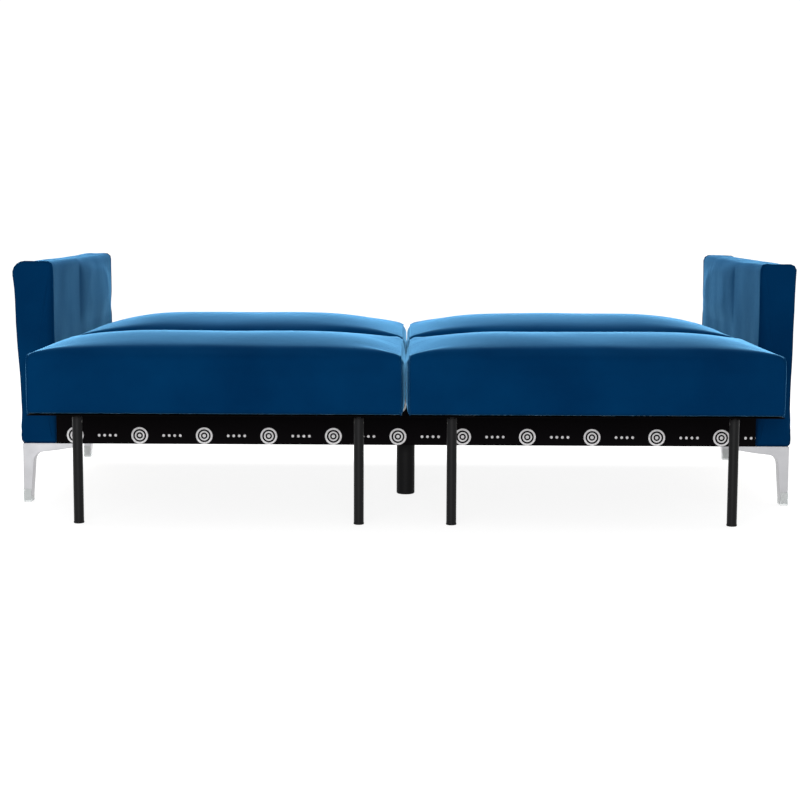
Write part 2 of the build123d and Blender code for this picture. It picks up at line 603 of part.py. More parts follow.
def arm_frames():
    """Wooden frames: a bottom rail, a top rail and three posts, glued up as one piece."""
    width = ARM_THICKNESS - 2 * ARM_PADDING
    depth = ARM_DEPTH - 2 * ARM_PADDING
    height = ARM_TOP - BODY_BOTTOM - ARM_PADDING
    window = ((depth - 3 * ARM_RAIL) / 2, height - 2 * ARM_RAIL)
    for name, side in SIDES.items():
        with BuildPart() as frame:
            with BuildSketch(Plane.YZ.offset(side * ARM_MIDDLE)):
                with Locations(((FRONT + ARM_REAR) / 2, BODY_BOTTOM + height / 2)):
                    Rectangle(depth, height)
                    with GridLocations(window[0] + ARM_RAIL, 0, 2, 1):
                        Rectangle(*window, mode=Mode.SUBTRACT)
                with Locations(*arm_bolt_places()):
                    Circle(BOLT_RADIUS + BOLT_PLAY, mode=Mode.SUBTRACT)
            extrude(amount=width / 2, both=True)
            with BuildSketch(Plane.XY.offset(BODY_BOTTOM)):
                with Locations(*screw_places(side, "rear")[:2], *screw_places(side, "front")[:2]):
                    Circle(SCREW[0] + BOLT_PLAY)
            extrude(amount=SCREW[2], mode=Mode.SUBTRACT)
        save(frame, f"arm_frame_{name}")


def arm_bolts():
    """Bolts from inside the seat box through its side rails into the arms' frames."""
    with BuildPart() as bolts:
        for side in SIDES.values():
            bolts_along_x(arm_bolt_places(), side * (ARM_INNER - RAIL), side * (ARM_OUTER - 2 * ARM_PADDING))
    save(bolts, "arm_bolts")


# ---------------------------------------------------------------- legs
def cast_leg_outline(side):
    """Cast leg seen along Y: a tapered blade with a thin wing that runs inward under the seat box."""
    wing_end = LEG_OUTER - LEG_REACH
    foot = LEG_CAP[2]
    Polyline(
        (side * LEG_OUTER, foot),
        (side * LEG_OUTER, BODY_BOTTOM - LEG_ROUND),
        (side * (LEG_OUTER - LEG_ROUND), BODY_BOTTOM),
        (side * wing_end, BODY_BOTTOM),
        (side * wing_end, BODY_BOTTOM - WING[2]),
        (side * ARM_INNER, BODY_BOTTOM - WING[1]),
        (side * (LEG_OUTER - BLADE[0]), BODY_BOTTOM - WING[0]),
        (side * (LEG_OUTER - BLADE[1]), foot),
        close=True,
    )


def cast_legs():
    hollow = (LEG_OUTER - BLADE[0], BODY_BOTTOM - WING[0])
    for end_name, (edge, end) in LEG_ENDS.items():
        for name, side in SIDES.items():
            with BuildPart() as leg:
                with BuildSketch(Plane.XZ.offset(-edge)) as outline:
                    with BuildLine():
                        cast_leg_outline(side)
                    make_face()
                    fillet(outline.vertices().sort_by_distance((side * hollow[0], hollow[1], 0))[0], LEG_HOLLOW)
                extrude(amount=end * LEG_DEPTH)
                fillet(leg.edges().filter_by(Axis.Y, reverse=True), radius=LEG_ROUND)
                with Locations((side * (LEG_OUTER - LEG_REACH / 2), edge - end * LEG_PLATE[0] / 2, BODY_BOTTOM)):
                    Box(LEG_REACH - 8, LEG_PLATE[0], LEG_PLATE[1], align=(Align.CENTER, Align.CENTER, Align.MAX))
                places = screw_places(side, end_name)
                with Locations(*[Plane((x, y, BODY_BOTTOM - LEG_PLATE[1]), z_dir=(0, 0, -1)) for x, y in places]):
                    CounterSinkHole(SCREW[0] + BOLT_PLAY, SCREW[1] + BOLT_PLAY, LEG_PLATE[1], 90)
            save(leg, f"leg_{end_name}_{name}")


def cast_leg_caps():
    """Clear sleeves round the feet of the cast legs."""
    height, wall, _ = LEG_CAP
    middle = LEG_OUTER - BLADE[1] / 2
    with BuildPart() as caps:
        for side in SIDES.values():
            for edge, end in LEG_ENDS.values():
                with Locations((side * middle, edge - end * LEG_DEPTH / 2, 0)):
                    Box(BLADE[1] + 2 * wall, LEG_DEPTH + 2 * wall, height, align=(Align.CENTER, Align.CENTER, Align.MIN))
        fillet(caps.edges().filter_by(Axis.Z), radius=3)
        fillet(caps.edges().group_by(Axis.Z)[0], radius=2)
        for side in SIDES.values():
            for edge, end in LEG_ENDS.values():
                with BuildSketch(Plane.XZ.offset(-edge)):
                    with BuildLine():
                        cast_leg_outline(side)
                    make_face()
                extrude(amount=end * LEG_DEPTH, mode=Mode.SUBTRACT)
    save(caps, "leg_caps")


def wood_screws():
    """Countersunk screws through the cast legs' plates and the centre leg's flange."""
    shank, head, length = SCREW
    taper = head - shank
    up = (Align.CENTER, Align.CENTER, Align.MIN)
    starts = [(x, y, BODY_BOTTOM - LEG_PLATE[1]) for x, y in all_leg_screws()]
    starts += [(x, y, BODY_BOTTOM - CENTRE_LEG[2]) for x, y in centre_leg_screws()]
    with BuildPart() as screws:
        with Locations(*starts):
            Cylinder(shank, length, align=up)
            Cone(head, shank, taper, align=up)
    save(screws, "leg_screws")


def centre_leg():
    """Thick moulded leg under the middle rails, with a screwed flange and a chamfered foot."""
    radius, flange_radius, flange = CENTRE_LEG
    up = (Align.CENTER, Align.CENTER, Align.MIN)
    with BuildPart() as leg:
        with Locations((0, CENTRE_LEG_Y, 0)):
            Cylinder(radius, BODY_BOTTOM, align=up)
        chamfer(leg.edges().group_by(Axis.Z)[0], length=2)
        with Locations((0, CENTRE_LEG_Y, BODY_BOTTOM - flange)):
            Cylinder(flange_radius, flange, align=up)
        places = [Plane((x, y, BODY_BOTTOM - flange), z_dir=(0, 0, -1)) for x, y in centre_leg_screws()]
        with Locations(*places):
            CounterSinkHole(SCREW[0] + BOLT_PLAY, SCREW[1] + BOLT_PLAY, flange, 90)
    save(leg, "center_leg")


def support_legs():
    """Tubes that carry the lowered backs, slotted at the top for a tongue and plugged with a flanged foot."""
    up = (Align.CENTER, Align.CENTER, Align.MIN)
    flange_radius, flange, plug = SUPPORT_FOOT
    bore = SUPPORT_RADIUS - SUPPORT_WALL
    slot_floor = SUPPORT_PIVOT_Z - TONGUE[1] - 1
    for name, side in SIDES.items():
        for place, x in support_places(side).items():
            with BuildPart() as tube:
                with Locations((x, SUPPORT_Y, flange)):
                    Cylinder(SUPPORT_RADIUS, SUPPORT_TOP - flange, align=up)
                    Cylinder(bore, SUPPORT_TOP - flange, align=up, mode=Mode.SUBTRACT)
                with BuildSketch(Plane.YZ.offset(x)):
                    with Locations((SUPPORT_Y, SUPPORT_PIVOT_Z)):
                        Circle(SUPPORT_PIN + RUNNING_FIT)
                extrude(amount=SUPPORT_RADIUS, both=True, mode=Mode.SUBTRACT)
                with Locations((x, SUPPORT_Y, slot_floor)):
                    Box(
                        SUPPORT_SLOT,
                        2 * SUPPORT_RADIUS,
                        SUPPORT_TOP,
                        align=(Align.CENTER, Align.MAX, Align.MIN),
                        mode=Mode.SUBTRACT,
                    )
            save(tube, f"support_leg_{name}_{place}")
            with BuildPart() as foot:
                with Locations((x, SUPPORT_Y, 0)):
                    Cylinder(flange_radius, flange, align=up)
                chamfer(foot.edges().group_by(Axis.Z)[0], length=0.8)
                with Locations((x, SUPPORT_Y, flange)):
                    Cylinder(bore - BOLT_PLAY, plug, align=up)
            save(foot, f"support_foot_{name}_{place}")


def leg_brackets():
    """Plates under the backs with a tongue for each support leg, and the pins that the legs turn on."""
    length, width, thickness = BRACKET
    top = BACK_UNDERSIDE - BACK_COVER
    for name, side in SIDES.items():
        with BuildPart() as brackets:
            for x in support_places(side).values():
                with BuildSketch(Plane.XY.offset(top - thickness)):
                    with Locations((x, SUPPORT_Y)):
                        Rectangle(width, length)
                    with Locations(*bracket_bolt_places(side)):
                        Circle(BOLT_RADIUS + BOLT_PLAY, mode=Mode.SUBTRACT)
                extrude(amount=thickness)
                with BuildSketch(Plane.YZ.offset(x)):
                    with Locations((SUPPORT_Y, SUPPORT_PIVOT_Z)):
                        Circle(TONGUE[1])
                        Rectangle(
                            2 * TONGUE[1],
                            top - thickness - SUPPORT_PIVOT_Z,
                            align=(Align.CENTER, Align.MIN),
                        )
                        Circle(SUPPORT_PIN + BOLT_PLAY, mode=Mode.SUBTRACT)
                extrude(amount=TONGUE[0] / 2, both=True)
        save(brackets, f"leg_brackets_{name}")
        with BuildPart() as pins:
            for x in support_places(side).values():
                with BuildSketch(Plane.YZ.offset(x)):
                    with Locations((SUPPORT_Y, SUPPORT_PIVOT_Z)):
                        Circle(SUPPORT_PIN)
                extrude(amount=SUPPORT_RADIUS - 0.5, both=True)
        save(pins, f"leg_pins_{name}")


cross_rails()
side_rails()
middle_rails()
spring_rails()
seat_springs()
spring_clips()
front_apron()
seat_dust_covers()
seat_cushions()
back_cushions()
back_frames()
back_straps()
back_dust_covers()
seat_plates()
back_plates()
hinge_pawls()
hinge_pins()
seat_plate_bolts()
back_bolts()
arm_covers()
arm_frames()
arm_bolts()
cast_legs()
cast_leg_caps()
wood_screws()
centre_leg()
support_legs()
leg_brackets()
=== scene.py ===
import json
import math

import bpy
import numpy as np
from mathutils import Matrix, Vector, noise


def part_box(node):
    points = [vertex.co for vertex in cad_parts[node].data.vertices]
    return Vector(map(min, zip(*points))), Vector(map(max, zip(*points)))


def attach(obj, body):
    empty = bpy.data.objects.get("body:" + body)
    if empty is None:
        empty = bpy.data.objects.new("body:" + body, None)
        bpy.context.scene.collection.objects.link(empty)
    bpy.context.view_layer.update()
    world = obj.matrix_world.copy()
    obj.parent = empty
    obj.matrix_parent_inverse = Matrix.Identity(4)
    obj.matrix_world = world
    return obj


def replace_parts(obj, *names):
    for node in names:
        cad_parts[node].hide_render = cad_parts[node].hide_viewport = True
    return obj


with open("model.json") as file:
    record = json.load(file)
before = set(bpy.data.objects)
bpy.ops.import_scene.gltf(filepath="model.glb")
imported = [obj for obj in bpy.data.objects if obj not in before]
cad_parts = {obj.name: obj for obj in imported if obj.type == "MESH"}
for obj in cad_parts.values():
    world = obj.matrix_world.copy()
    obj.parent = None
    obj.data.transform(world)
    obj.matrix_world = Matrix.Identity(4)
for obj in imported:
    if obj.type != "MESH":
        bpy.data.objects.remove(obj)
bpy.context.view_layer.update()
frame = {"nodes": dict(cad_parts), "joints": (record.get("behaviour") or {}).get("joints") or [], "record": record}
NODES = frame["nodes"]

# Everything is in metres in the frame of the CAD model: X along the width (+X is the sitter's left),
# the front of the seat at -Y, the free edges of the lowered backs at +Y, the floor at Z = 0.

SIDES = {"left": 1, "right": -1}

# ---------------------------------------------------------------- sizes
GRID = 0.010                # spacing of the padded pieces' mesh before simulation
ROLL_ANGLES = (0, 22, 45, 67)       # rings over a padded piece's rounded end; the seam runs along the last
CAP_LAYERS = 9              # shrinking rings that close the end
CUSHION_EDGE = 0.384        # top of a cushion along its edges
SEAT_CROWN = 0.027          # how far the middle of a seat cushion stands above its edges
BACK_CROWN = 0.021
CROWN_RUN = 0.235           # distance from a cushion's end over which the crown builds up
SEAT_ROUND = 0.030          # rounding of a seat cushion's top edges, seen along X
BACK_ROUND = 0.017          # rounding of a back's top free edge
TOP_ROUND = 0.018           # rounding where a cushion's top turns down into its end
END_ROUND = 0.006           # rounding of a cushion's upright edges
INNER_DOME = 0.0045         # fullness of a cushion's inner end before the simulation
INNER_SWELL = 0.0055        # most that the simulation may swell the inner end into the middle gap,
OUTER_SWELL = 0.0020        # the outer end towards its arm,
FACE_SWELL = 0.004          # the front or free face,
TOP_SWELL = 0.008           # and the top
SEAM_HOLD = 0.85            # how firmly the sewn edges at the ends are held
HINGE_REACH = 0.075         # the hinge plates and their pawls stay within this distance of the pivot
SIM_FRAMES = 16
PRESSURE = {"seat": 4.0, "back": 4.0, "arm": 3.0}
MOST_MOVE = {"seat": 0.012, "back": 0.008, "arm": 0.005}        # furthest that the simulation moves a point
RIPPLE = {"cushion": (0.16, 0.0016), "arm": (0.11, 0.0018), "apron": (0.13, 0.0009)}    # size and height
ARM_INNER_ROUND = 0.015     # rounding of an arm's top edges
ARM_OUTER_ROUND = {"left": 0.030, "right": 0.014}
ARM_END_ROUND = 0.012
ARM_TUCK = 0.0050           # the foot of an arm's outer face lies this far inside the CAD arm,
ARM_LEAN = {"left": 0.010, "right": -0.002}         # and its top this far outside; they aren't stuffed alike
ARM_REAR_LEAN = 0.0035      # the top of the inner face leans away from the seat at the rear
ARM_FRONT_LEAN = 0.006      # and towards it at the front, above the cushions
ARM_BEND = -0.1             # Y where the lean changes
ARM_HOLD = 0.009            # depth of the inner face that the simulation holds
ARM_ROOM = (0.010, 0.003, 0.008)    # most that the simulation may swell an arm outward, endward and upward
APRON_SWELL = 0.0035
APRON_SEAM = 0.0012         # the apron's welt is sewn on this far over its top rear edge
PIPING = 0.0016             # radius of the welts
APRON_PIPING = 0.0026
MOTIF_SPACING = 0.152       # printed motif on the dust covers, repeated along X
MOTIF_START = 0.018
MOTIF_ROUNDS = ((0.0175, 0.0022), (0.0095, 0.0018), (0.0, 0.0040))    # radius and half line width
DOT_RADIUS = 0.0032
DOT_SPACING = 0.013
COVER_GRID = 0.012          # spacing of the dust covers' mesh
COVER_THICKNESS = 0.0009

# Y and Z of the hinges
PIVOT = tuple(next(j["pos_m"] for j in frame["joints"] if j["name"] == "recline_left")[1:])


# ---------------------------------------------------------------- shader nodes
def new_material(name):
    mat = bpy.data.materials.new(name)
    mat.use_nodes = True
    nodes, links = mat.node_tree.nodes, mat.node_tree.links
    return mat, nodes, links, nodes["Principled BSDF"]


def object_coordinates(nodes):
    return nodes.new("ShaderNodeTexCoord").outputs["Object"]


def math_node(nodes, links, operation, *values):
    node = nodes.new("ShaderNodeMath")
    node.operation = operation
    for socket, value in zip(node.inputs, values):
        if isinstance(value, (int, float)):
            socket.default_value = value
        else:
            links.new(value, socket)
    return node.outputs[0]


def noise_node(nodes, links, scale, detail=3.0):
    node = nodes.new("ShaderNodeTexNoise")
    node.inputs["Scale"].default_value = scale
    node.inputs["Detail"].default_value = detail
    node.inputs["Roughness"].default_value = 0.55
    links.new(object_coordinates(nodes), node.inputs["Vector"])
    return node


def ramp(nodes, links, source, low, high):
    node = nodes.new("ShaderNodeValToRGB")
    for element, position, colour in zip(node.color_ramp.elements, (0.3, 0.7), (low, high)):
        element.position = position
        element.color = (*colour, 1)
    links.new(source, node.inputs["Fac"])
    return node


def bump(nodes, links, source, strength, distance, normal=None):
    node = nodes.new("ShaderNodeBump")
    node.inputs["Strength"].default_value = strength
    node.inputs["Distance"].default_value = distance
    links.new(source, node.inputs["Height"])
    if normal is not None:
        links.new(normal, node.inputs["Normal"])
    return node


# ---------------------------------------------------------------- camera and light
def camera():
    """A long lens behind the sofa bed, a little above its arms and looking slightly down."""
    eye = Vector((-0.0095, 3.985, 0.683))
    pitch, yaw, roll = 0.1150, 0.0061, 0.0038
    forward = Vector((math.sin(yaw) * math.cos(pitch), -math.cos(yaw) * math.cos(pitch), -math.sin(pitch)))
    level = forward.cross(Vector((0, 0, 1))).normalized()
    upright = level.cross(forward)
    right = level * math.cos(roll) + upright * math.sin(roll)
    up = upright * math.cos(roll) - level * math.sin(roll)
    data = bpy.data.cameras.new("camera")
    data.lens = 72.95
    data.sensor_width = 36.0
    cam = bpy.data.objects.new("camera", data)
    cam.matrix_world = Matrix((
        (right.x, up.x, -forward.x, eye.x),
        (right.y, up.y, -forward.y, eye.y),
        (right.z, up.z, -forward.z, eye.z),
        (0, 0, 0, 1),
    ))
    bpy.context.scene.collection.objects.link(cam)
    bpy.context.scene.camera = cam


def area_light(name, place, target, size, power):
    data = bpy.data.lights.new(name, "AREA")
    data.shape = "RECTANGLE"
    data.size, data.size_y = size
    data.energy = power
    lamp = bpy.data.objects.new(name, data)
    lamp.location = place
    lamp.rotation_euler = (Vector(target) - Vector(place)).to_track_quat("-Z", "Y").to_euler()
    bpy.context.scene.collection.objects.link(lamp)


def studio():
    """White room: bright overhead and beyond the sofa bed, dimmer behind the camera, and two soft lights."""
    world = bpy.data.worlds.new("room")
    world.use_nodes = True
    nodes, links = world.node_tree.nodes, world.node_tree.links
    direction = nodes.new("ShaderNodeSeparateXYZ")
    links.new(nodes.new("ShaderNodeTexCoord").outputs["Generated"], direction.inputs[0])
    beyond = math_node(nodes, links, "MULTIPLY_ADD", direction.outputs["Y"], -0.9, 0.6)
    bright = math_node(nodes, links, "MULTIPLY_ADD", direction.outputs["Z"], 0.6, beyond)
    limited = math_node(nodes, links, "MINIMUM", math_node(nodes, links, "MAXIMUM", bright, 0.40), 1.06)
    links.new(limited, nodes["Background"].inputs["Strength"])
    nodes["Background"].inputs["Color"].default_value = (1, 1, 1, 1)
    bpy.context.scene.world = world
    area_light("top_light", (0.2, -2.0, 2.5), (0, 0, 0.4), (3.6, 1.8), 150)
    area_light("rear_light", (0.5, 4.8, 1.2), (0, 0, 0.4), (3.2, 0.8), 150)
    bpy.context.scene.view_settings.view_transform = "Standard"
    bpy.context.scene.view_settings.look = "None"


def floor():
    """Pale floor that glows a little, so that the shadows stay faint."""
    half = 30.0
    around = [(-half, -half, 0), (half, -half, 0), (half, half, 0), (-half, half, 0)]
    mesh = bpy.data.meshes.new("floor")
    mesh.from_pydata(around, [], [(0, 1, 2, 3)])
    plane = bpy.data.objects.new("floor", mesh)
    bpy.context.scene.collection.objects.link(plane)
    mat, nodes, links, shader = new_material("floor")
    shader.inputs["Base Color"].default_value = (0.22, 0.22, 0.22, 1)
    shader.inputs["Roughness"].default_value = 0.9
    shader.inputs["Specular IOR Level"].default_value = 0.1
    shader.inputs["Emission Color"].default_value = (1, 1, 1, 1)
    shader.inputs["Emission Strength"].default_value = 0.87
    mesh.materials.append(mat)


# ---------------------------------------------------------------- materials
def velvet(name, sheen):
    """Short-pile royal-blue velvet: dark face on, pale at grazing angles, with brushed patches and a pile."""
    mat, nodes, links, shader = new_material(name)
    patches = noise_node(nodes, links, 4.0, 5.0)
    brushed = ramp(nodes, links, patches.outputs["Fac"], (0.0002, 0.015, 0.053), (0.0004, 0.023, 0.075))
    shader.inputs["Roughness"].default_value = 0.7
    shader.inputs["Specular IOR Level"].default_value = 0.0
    shader.inputs["Sheen Weight"].default_value = sheen
    shader.inputs["Sheen Roughness"].default_value = 0.26
    shader.inputs["Sheen Tint"].default_value = (0.17, 0.50, 0.85, 1)
    pile = noise_node(nodes, links, 900.0, 2.0)
    mottle = noise_node(nodes, links, 45.0, 3.0)
    coarse = bump(nodes, links, mottle.outputs["Fac"], 0.10, 0.002)
    fine = bump(nodes, links, pile.outputs["Fac"], 0.30, 0.0005, coarse.outputs["Normal"])
    links.new(brushed.outputs["Color"], shader.inputs["Base Color"])
    links.new(fine.outputs["Normal"], shader.inputs["Normal"])
    return mat


def surface(name, low, high, rough, metal=0.0, grain=60.0, depth=0.0003, specular=0.5, stretch=None):
    """Material whose colour, roughness and bump vary with one noise, stretched along an axis if wanted."""
    mat, nodes, links, shader = new_material(name)
    grit = noise_node(nodes, links, grain, 4.0)
    if stretch is not None:
        mapping = nodes.new("ShaderNodeMapping")
        mapping.inputs["Scale"].default_value = stretch
        links.new(object_coordinates(nodes), mapping.inputs["Vector"])
        links.new(mapping.outputs["Vector"], grit.inputs["Vector"])
    colour = ramp(nodes, links, grit.outputs["Fac"], low, high)
    links.new(colour.outputs["Color"], shader.inputs["Base Color"])
    finish = ramp(nodes, links, grit.outputs["Fac"], (rough[0],) * 3, (rough[1],) * 3)
    links.new(finish.outputs["Color"], shader.inputs["Roughness"])
    relief = bump(nodes, links, grit.outputs["Fac"], 0.4, depth)
    links.new(relief.outputs["Normal"], shader.inputs["Normal"])
    shader.inputs["Metallic"].default_value = metal
    shader.inputs["Specular IOR Level"].default_value = specular
    return mat


def clear_plastic():
    """Slightly milky clear sleeve."""
    mat = surface("clear_plastic", (0.80, 0.84, 0.84), (0.88, 0.91, 0.91), (0.10, 0.22), grain=30.0)
    shader = mat.node_tree.nodes["Principled BSDF"]
    shader.inputs["Transmission Weight"].default_value = 0.55
    shader.inputs["IOR"].default_value = 1.45
    return mat


def webbing():
    """Woven strap: crossed bands along X and Y."""
    mat, nodes, links, shader = new_material("webbing")
    bands = []
    for direction in ("X", "Y"):
        wave = nodes.new("ShaderNodeTexWave")
        wave.bands_direction = direction
        wave.inputs["Scale"].default_value = 160.0
        links.new(object_coordinates(nodes), wave.inputs["Vector"])
        bands.append(wave)
    weave = math_node(nodes, links, "MULTIPLY", bands[0].outputs["Fac"], bands[1].outputs["Fac"])
    colour = ramp(nodes, links, weave, (0.16, 0.14, 0.11), (0.42, 0.38, 0.30))
    links.new(colour.outputs["Color"], shader.inputs["Base Color"])
    relief = bump(nodes, links, weave, 0.6, 0.0006)
    links.new(relief.outputs["Normal"], shader.inputs["Normal"])
    shader.inputs["Roughness"].default_value = 0.85
    return mat


def spots(nodes, links, across, up, spacing, start, radius, width):
    """1 inside rings of a radius and line width, repeated along two coordinates; radius 0 gives dots."""
    squares = []
    for coordinate, step, offset in zip((across, up), spacing, start):
        moved = math_node(nodes, links, "SUBTRACT", coordinate, offset)
        wrapped = math_node(nodes, links, "WRAP", moved, step / 2, -step / 2)
        squares.append(math_node(nodes, links, "MULTIPLY", wrapped, wrapped))
    distance = math_node(nodes, links, "SQRT", math_node(nodes, links, "ADD", *squares))
    return math_node(nodes, links, "COMPARE", distance, radius, width)


def non_woven(name, up_axis, start_up, row_spacing):
    """Thin black spun sheet with a pale printed motif: two rings round a dot, and four dots in between."""
    mat, nodes, links, shader = new_material(name)
    parts = nodes.new("ShaderNodeSeparateXYZ")
    links.new(object_coordinates(nodes), parts.inputs[0])
    across, up = parts.outputs["X"], parts.outputs[up_axis]
    rows = (MOTIF_SPACING, row_spacing)
    ringed = (MOTIF_START, start_up)
    prints = [spots(nodes, links, across, up, rows, ringed, *sizes) for sizes in MOTIF_ROUNDS]
    for step in (-1.5, -0.5, 0.5, 1.5):
        beside = (MOTIF_START + MOTIF_SPACING / 2 + step * DOT_SPACING, start_up)
        prints.append(spots(nodes, links, across, up, rows, beside, 0.0, DOT_RADIUS))
    total = prints[0]
    for extra in prints[1:]:
        total = math_node(nodes, links, "MAXIMUM", total, extra)
    fibres = noise_node(nodes, links, 320.0, 3.0)
    patchy = math_node(nodes, links, "ADD", fibres.outputs["Fac"], 0.35)
    worn = math_node(nodes, links, "MULTIPLY", total, patchy)
    mix = nodes.new("ShaderNodeMix")
    mix.data_type = "RGBA"
    mix.inputs["A"].default_value = (0.0016, 0.0012, 0.0016, 1)
    mix.inputs["B"].default_value = (0.62, 0.61, 0.62, 1)
    links.new(worn, mix.inputs["Factor"])
    links.new(mix.outputs["Result"], shader.inputs["Base Color"])
    relief = bump(nodes, links, fibres.outputs["Fac"], 0.5, 0.0004)
    links.new(relief.outputs["Normal"], shader.inputs["Normal"])
    shader.inputs["Roughness"].default_value = 0.85
    shader.inputs["Specular IOR Level"].default_value = 0.04
    return mat


def slot_materials(cloth):
    """One material for each of the record's slots."""
    return {
        "velvet": cloth,
        "wood": surface("pine", (0.36, 0.22, 0.11), (0.62, 0.44, 0.26), (0.6, 0.8), 0.0, 14.0, 0.0004,
                        stretch=(0.25, 6.0, 6.0)),
        "dust_cover": surface("plain_cover", (0.0020, 0.0016, 0.0020), (0.0030, 0.0026, 0.0030),
                              (0.8, 0.9), 0.0, 320.0, 0.0004, 0.12),
        "webbing": webbing(),
        "zinc_steel": surface("zinc", (0.20, 0.20, 0.19), (0.30, 0.30, 0.29), (0.38, 0.52), 1.0, 90.0),
        "spring_steel": surface("spring_wire", (0.20, 0.20, 0.21), (0.34, 0.34, 0.35),
                                (0.3, 0.45), 1.0, 120.0),
        "frame_steel": surface("frame_paint", (0.020, 0.020, 0.022), (0.035, 0.035, 0.038),
                               (0.4, 0.55), 0.0, 70.0),
        "black_steel": surface("powder_coat", (0.0026, 0.0026, 0.0030), (0.0044, 0.0044, 0.0050),
                               (0.36, 0.46), 0.0, 700.0, 0.00015, 0.14),
        "black_rubber": surface("rubber", (0.0030, 0.0030, 0.0032), (0.0050, 0.0050, 0.0052),
                                (0.6, 0.75), 0.0, 200.0, 0.0002, 0.2),
        "black_plastic": surface("moulded_plastic", (0.0024, 0.0024, 0.0028), (0.0036, 0.0036, 0.0040),
                                 (0.42, 0.55), 0.0, 260.0, 0.0002, 0.08),
        "cast_chrome": surface("satin_chrome", (0.41, 0.41, 0.425), (0.45, 0.45, 0.465),
                               (0.30, 0.38), 0.8, 24.0, 0.0001),
        "clear_plastic": clear_plastic(),
    }


def paint_cad_nodes(materials):
    """Give every CAD node the material of its slot in the record."""
    for part in frame["record"]["subparts"]:
        node = NODES[part["node"]]
        for index in range(len(node.data.materials)):
            node.material_slots[index].link = "OBJECT"
            node.material_slots[index].material = materials[part["material_slot"]]


# ---------------------------------------------------------------- mesh helpers
def box_corners(node):
    """Low and high corner of a CAD node's box."""
    return tuple(Vector(corner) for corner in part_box(node))


def add_object(name, vertices, faces, material):
    mesh = bpy.data.meshes.new(name)
    mesh.from_pydata([tuple(v) for v in vertices], [], faces)
    mesh.validate()
    mesh.polygons.foreach_set("use_smooth", [True] * len(mesh.polygons))
    mesh.materials.append(material)
    mesh.update()
    piece = bpy.data.objects.new(name, mesh)
    bpy.context.scene.collection.objects.link(piece)
    return piece


def resample(points, count):
    """Evenly spaced points round a closed outline."""
    loop = np.array(list(points) + [points[0]])
    steps = np.linalg.norm(np.diff(loop, axis=0), axis=1)
    along = np.concatenate([[0], np.cumsum(steps)])
    where = np.linspace(0, along[-1], count, endpoint=False)
    return np.stack([np.interp(where, along, loop[:, k]) for k in (0, 1)], axis=1)


def arc(centre, radius, start, end, steps=9):
    """Points on an arc, angles in degrees from the first axis towards the second."""
    angles = np.radians(np.linspace(start, end, steps))
    return [(centre[0] + radius * math.cos(a), centre[1] + radius * math.sin(a)) for a in angles]


def smooth_step(value):
    value = np.clip(value, 0.0, 1.0)
    return value * value * (3 - 2 * value)


def inset(ring, amount):
    """Ring moved inward along its normals; the outline runs counter-clockwise."""
    forward = np.roll(ring, -1, axis=0) - np.roll(ring, 1, axis=0)
    forward /= np.linalg.norm(forward, axis=1)[:, None]
    return ring + amount * np.stack([-forward[:, 1], forward[:, 0]], axis=1)


def swept_pad(name, outline, low, high, axis, material, end_round):
    """Closed padded body swept along X or Y. outline(depth) gives the counter-clockwise outline at a
    distance from the nearer end; the ends are rounded over and closed by shrinking rings.
    Returns the piece and the vertex numbers of the two rings where the top turns into the ends."""
    half, middle = (high - low) / 2, (low + high) / 2
    rolled = [low + end_round * (1 - math.cos(a)) for a in np.radians(ROLL_ANGLES)]
    rolled += list(np.arange(low + end_round, low + TOP_ROUND, GRID / 2))
    straight = int(round((high - low - 2 * TOP_ROUND) / GRID))
    places = rolled + list(np.linspace(low + TOP_ROUND, high - TOP_ROUND, straight + 1))
    places += [low + high - p for p in reversed(rolled)]
    reference = np.array(outline(half))
    perimeter = np.linalg.norm(np.roll(reference, -1, axis=0) - reference, axis=1).sum()
    points = int(round(perimeter / GRID))
    rings = []
    for place in places:
        depth = half - abs(place - middle)
        ring = resample(outline(depth), points)
        if depth < end_round:
            ring = inset(ring, end_round - math.sqrt(max(0.0, end_round**2 - (end_round - depth) ** 2)))
        rings.append(np.column_stack([np.full(points, place), ring]))
    faces = []
    for i in range(len(rings) - 1):
        for j in range(points):
            a, b = i * points + j, i * points + (j + 1) % points
            faces.append((a, b, b + points, a + points))
    vertices = [v for ring in rings for v in ring]
    for flip, ring, first in ((True, rings[0], 0), (False, rings[-1], (len(rings) - 1) * points)):
        core = ring.mean(axis=0)
        previous = list(range(first, first + points))
        for layer in range(1, CAP_LAYERS):
            start = len(vertices)
            vertices += list(core + (ring - core) * (1 - layer / CAP_LAYERS))
            current = list(range(start, start + points))
            quads = [(previous[j], previous[(j + 1) % points], current[(j + 1) % points], current[j])
                     for j in range(points)]
            faces += [q[::-1] for q in quads] if flip else quads
            previous = current
        vertices.append(core)
        triangles = [(previous[j], previous[(j + 1) % points], len(vertices) - 1) for j in range(points)]
        faces += [t[::-1] for t in triangles] if flip else triangles
    if axis == "Y":
        vertices = [(v[1], v[0], v[2]) for v in vertices]
        faces = [f[::-1] for f in faces]
    before = len(ROLL_ANGLES) - 1
    seams = [range(r * points, (r + 1) * points) for r in (before, len(rings) - 1 - before)]
    return add_object(name, vertices, faces, material), seams


def positions(piece):
    flat = np.empty(len(piece.data.vertices) * 3)
    piece.data.vertices.foreach_get("co", flat)
    return flat.reshape(-1, 3)


def move_to(piece, points):
    piece.data.vertices.foreach_set("co", np.asarray(points, dtype=float).ravel())
    piece.data.update()


